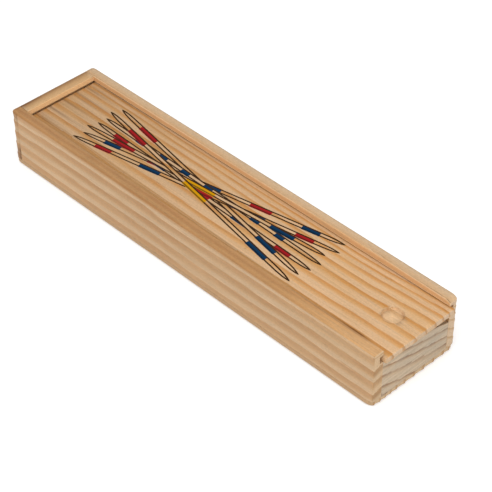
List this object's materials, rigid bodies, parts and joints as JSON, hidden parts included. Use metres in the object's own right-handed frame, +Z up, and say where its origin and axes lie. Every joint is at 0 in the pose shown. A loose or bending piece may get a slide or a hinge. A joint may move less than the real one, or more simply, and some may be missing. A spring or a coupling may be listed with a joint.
{
  "type": "pick-up sticks game in sliding-lid box",
  "caption": "Long narrow softwood box with a lid that slides in grooves, thumb recess, and thin pointed sticks with painted bands lying inside.",
  "frame": {"origin": "middle of the underside of the base board, on the surface that the box stands on", "axes": "+X along the box towards the front end, where the lid slides out; +Y to the right side; +Z up"},
  "size_m": [0.2017, 0.0444, 0.0259],
  "materials": {
    "lid_pine": "brushed softwood, printed and satin varnished",
    "side_pine": "brushed softwood, satin varnished",
    "base_pine": "brushed softwood, satin varnished",
    "end_pine": "brushed softwood, satin varnished",
    "grey_pine": "bare greyish softwood, end board",
    "stick_wood": "turned pale wood with painted bands"
  },
  "bodies": {
    "box": {"base_board": "base_pine", "left_side": "side_pine", "right_side": "side_pine", "rear_end": "end_pine", "front_end": "grey_pine", "emperor_stick": "stick_wood", "mandarin_stick_01": "stick_wood", "mandarin_stick_02": "stick_wood", "mandarin_stick_03": "stick_wood", "mandarin_stick_04": "stick_wood", "mandarin_stick_05": "stick_wood", "monk_stick_01": "stick_wood", "monk_stick_02": "stick_wood", "monk_stick_03": "stick_wood", "monk_stick_04": "stick_wood", "monk_stick_05": "stick_wood", "samurai_stick_01": "stick_wood", "samurai_stick_02": "stick_wood", "samurai_stick_03": "stick_wood", "samurai_stick_04": "stick_wood", "samurai_stick_05": "stick_wood", "samurai_stick_06": "stick_wood", "samurai_stick_07": "stick_wood", "samurai_stick_08": "stick_wood", "samurai_stick_09": "stick_wood", "samurai_stick_10": "stick_wood", "samurai_stick_11": "stick_wood", "samurai_stick_12": "stick_wood", "samurai_stick_13": "stick_wood", "samurai_stick_14": "stick_wood", "samurai_stick_15": "stick_wood", "worker_stick_01": "stick_wood", "worker_stick_02": "stick_wood", "worker_stick_03": "stick_wood", "worker_stick_04": "stick_wood", "worker_stick_05": "stick_wood", "worker_stick_06": "stick_wood", "worker_stick_07": "stick_wood", "worker_stick_08": "stick_wood", "worker_stick_09": "stick_wood", "worker_stick_10": "stick_wood", "worker_stick_11": "stick_wood", "worker_stick_12": "stick_wood", "worker_stick_13": "stick_wood", "worker_stick_14": "stick_wood", "worker_stick_15": "stick_wood"},
    "lid": {"lid": "lid_pine"}
  },
  "joints": [
    {"name": "lid_slide", "type": "slide", "parent": "box", "child": "lid", "axis": [1, 0, 0], "range_m": [-0.0017, 0.19]}
  ]
}
